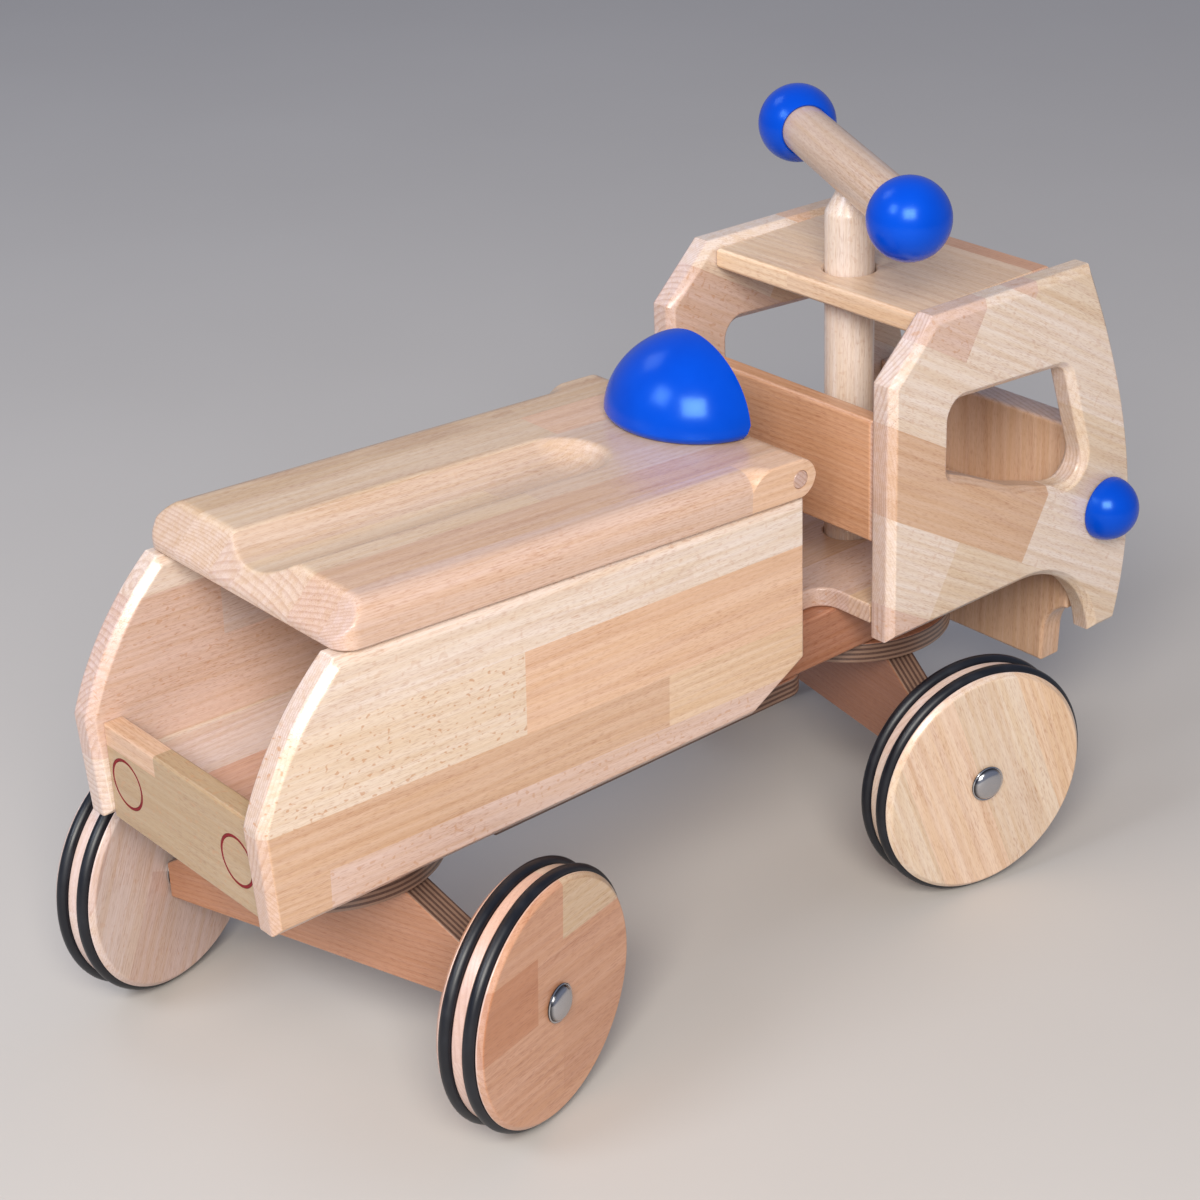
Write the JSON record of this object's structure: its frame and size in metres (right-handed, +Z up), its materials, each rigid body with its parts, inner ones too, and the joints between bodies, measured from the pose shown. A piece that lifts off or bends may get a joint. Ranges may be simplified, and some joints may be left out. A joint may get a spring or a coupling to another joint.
{
  "type": "ride-on toy truck",
  "caption": "Wooden ride-on truck with an open cab, a steering post with ball grips, a box under a hinged seat lid, and steerable axles on turntables.",
  "frame": {"origin": "on the floor under the middle of the truck's footprint", "axes": "+Z up from the floor the wheels stand on, +Y forward towards the cab, +X to the truck's right"},
  "size_m": [0.2994, 0.6158, 0.4115],
  "materials": {
    "beech": "satin clear lacquer on edge-glued beech",
    "plywood": "lacquered plywood with striped edges",
    "blue_paint": "satin blue paint on turned wood",
    "rubber": "smooth black rubber",
    "steel": "bright zinc-plated steel",
    "polished_steel": "polished",
    "dark_red": "dark red stained wood ring"
  },
  "bodies": {
    "truck": {"chassis_plank": "beech", "keel_plate": "plywood", "floor_board": "beech", "box_side_left": "beech", "box_side_right": "beech", "tailboard": "beech", "tail_ring_left": "dark_red", "tail_ring_right": "dark_red", "box_front_wall": "beech", "cab_side_left": "beech", "cab_side_right": "beech", "cab_roof": "beech", "cab_rear_rail": "beech", "cab_front_board": "beech", "lamp_left": "blue_paint", "lamp_right": "blue_paint"},
    "seat_lid": {"lid": "beech", "lid_dowel": "beech", "lid_dome": "blue_paint"},
    "rear_axle": {"rear_turntable": "plywood", "rear_axle_block": "plywood", "rear_axle_rod": "steel", "rear_pivot_bolt": "steel", "rear_washer_left": "steel", "rear_washer_right": "steel", "rear_hub_cap_left": "polished_steel", "rear_hub_cap_right": "polished_steel"},
    "steering": {"front_turntable": "plywood", "front_axle_block": "plywood", "front_axle_rod": "steel", "front_washer_left": "steel", "front_washer_right": "steel", "front_hub_cap_left": "polished_steel", "front_hub_cap_right": "polished_steel", "steering_post": "beech", "handlebar": "beech", "handlebar_pin": "beech", "handle_ball_left": "blue_paint", "handle_ball_right": "blue_paint"},
    "rear_left_wheel": {"rear_wheel_left": "beech", "rear_tyre_left_inner": "rubber", "rear_tyre_left_outer": "rubber"},
    "rear_right_wheel": {"rear_wheel_right": "beech", "rear_tyre_right_inner": "rubber", "rear_tyre_right_outer": "rubber"},
    "front_left_wheel": {"front_wheel_left": "beech", "front_tyre_left_inner": "rubber", "front_tyre_left_outer": "rubber"},
    "front_right_wheel": {"front_wheel_right": "beech", "front_tyre_right_inner": "rubber", "front_tyre_right_outer": "rubber"}
  },
  "joints": [
    {"name": "lid_hinge", "type": "hinge", "parent": "truck", "child": "seat_lid", "pos_m": [0, 0.04842, 0.26817], "axis": [-1, 0, 0], "range_deg": [0, 75]},
    {"name": "steering_turn", "type": "hinge", "parent": "truck", "child": "steering", "pos_m": [0, 0.16942, 0.128], "axis": [0, 0, 1], "range_deg": [-10.9, 33.1]},
    {"name": "rear_axle_turn", "type": "hinge", "parent": "truck", "child": "rear_axle", "pos_m": [0, -0.20458, 0.128], "axis": [0, 0, 1], "range_deg": [-46.6, 13.4]},
    {"name": "rear_left_spin", "type": "hinge", "parent": "rear_axle", "child": "rear_left_wheel", "pos_m": [0, -0.20458, 0.069], "axis": [0.9583, 0.2857, 0], "continuous": true},
    {"name": "rear_right_spin", "type": "hinge", "parent": "rear_axle", "child": "rear_right_wheel", "pos_m": [0, -0.20458, 0.069], "axis": [0.9583, 0.2857, 0], "continuous": true},
    {"name": "front_left_spin", "type": "hinge", "parent": "steering", "child": "front_left_wheel", "pos_m": [0, 0.16942, 0.069], "axis": [0.9813, -0.1925, 0], "continuous": true},
    {"name": "front_right_spin", "type": "hinge", "parent": "steering", "child": "front_right_wheel", "pos_m": [0, 0.16942, 0.069], "axis": [0.9813, -0.1925, 0], "continuous": true}
  ]
}
